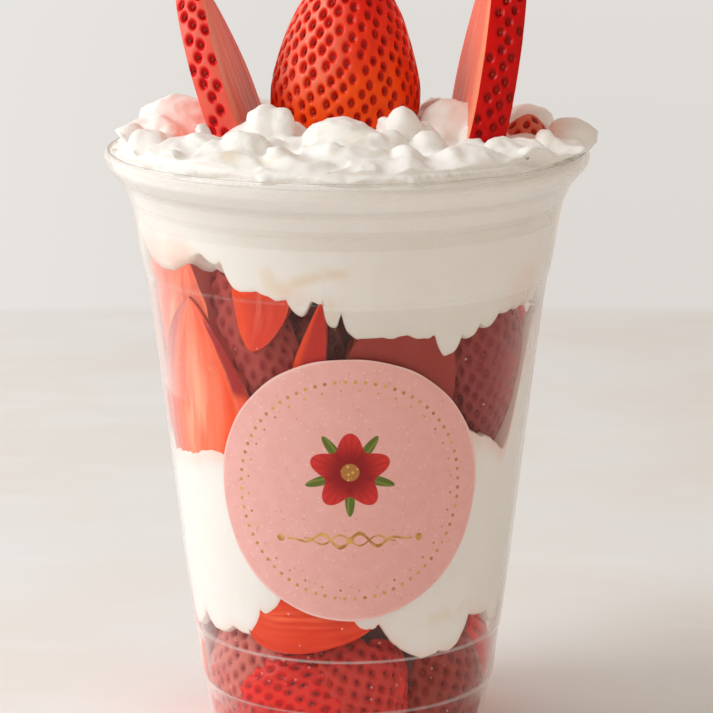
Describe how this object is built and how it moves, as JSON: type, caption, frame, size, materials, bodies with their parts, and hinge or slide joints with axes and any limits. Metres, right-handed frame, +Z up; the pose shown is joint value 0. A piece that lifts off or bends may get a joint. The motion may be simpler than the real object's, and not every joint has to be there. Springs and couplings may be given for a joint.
{
  "type": "cup of strawberries and cream",
  "caption": "Clear tapered plastic cup with a rolled lip and a round label, filled with layers of cut strawberries and whipped cream, with strawberries standing in the cream on top.",
  "frame": {"origin": "centre of the cup's flat base, on the surface it stands on", "axes": "+Z up along the cup's axis; -Y is the front, with the label; +X is to the right seen from the front"},
  "size_m": [0.1001, 0.0984, 0.1618],
  "materials": {
    "clear_plastic": "clear, glossy, slightly wavy",
    "label_paper": "matte speckled pink paper with a gold print",
    "whipped_cream": "soft, slightly glossy cream",
    "cut_strawberries": "wet cut faces and seeded skins",
    "strawberry": "glossy dimpled skin with seeds; cut faces moist"
  },
  "bodies": {
    "root": {"cup": "clear_plastic", "label": "label_paper", "berries_lower": "cut_strawberries", "cream_middle": "whipped_cream", "berries_upper": "cut_strawberries", "cream_top": "whipped_cream", "berry_centre": "strawberry", "slice_left": "strawberry", "slice_right": "strawberry", "berry_rear": "strawberry"}
  },
  "joints": []
}
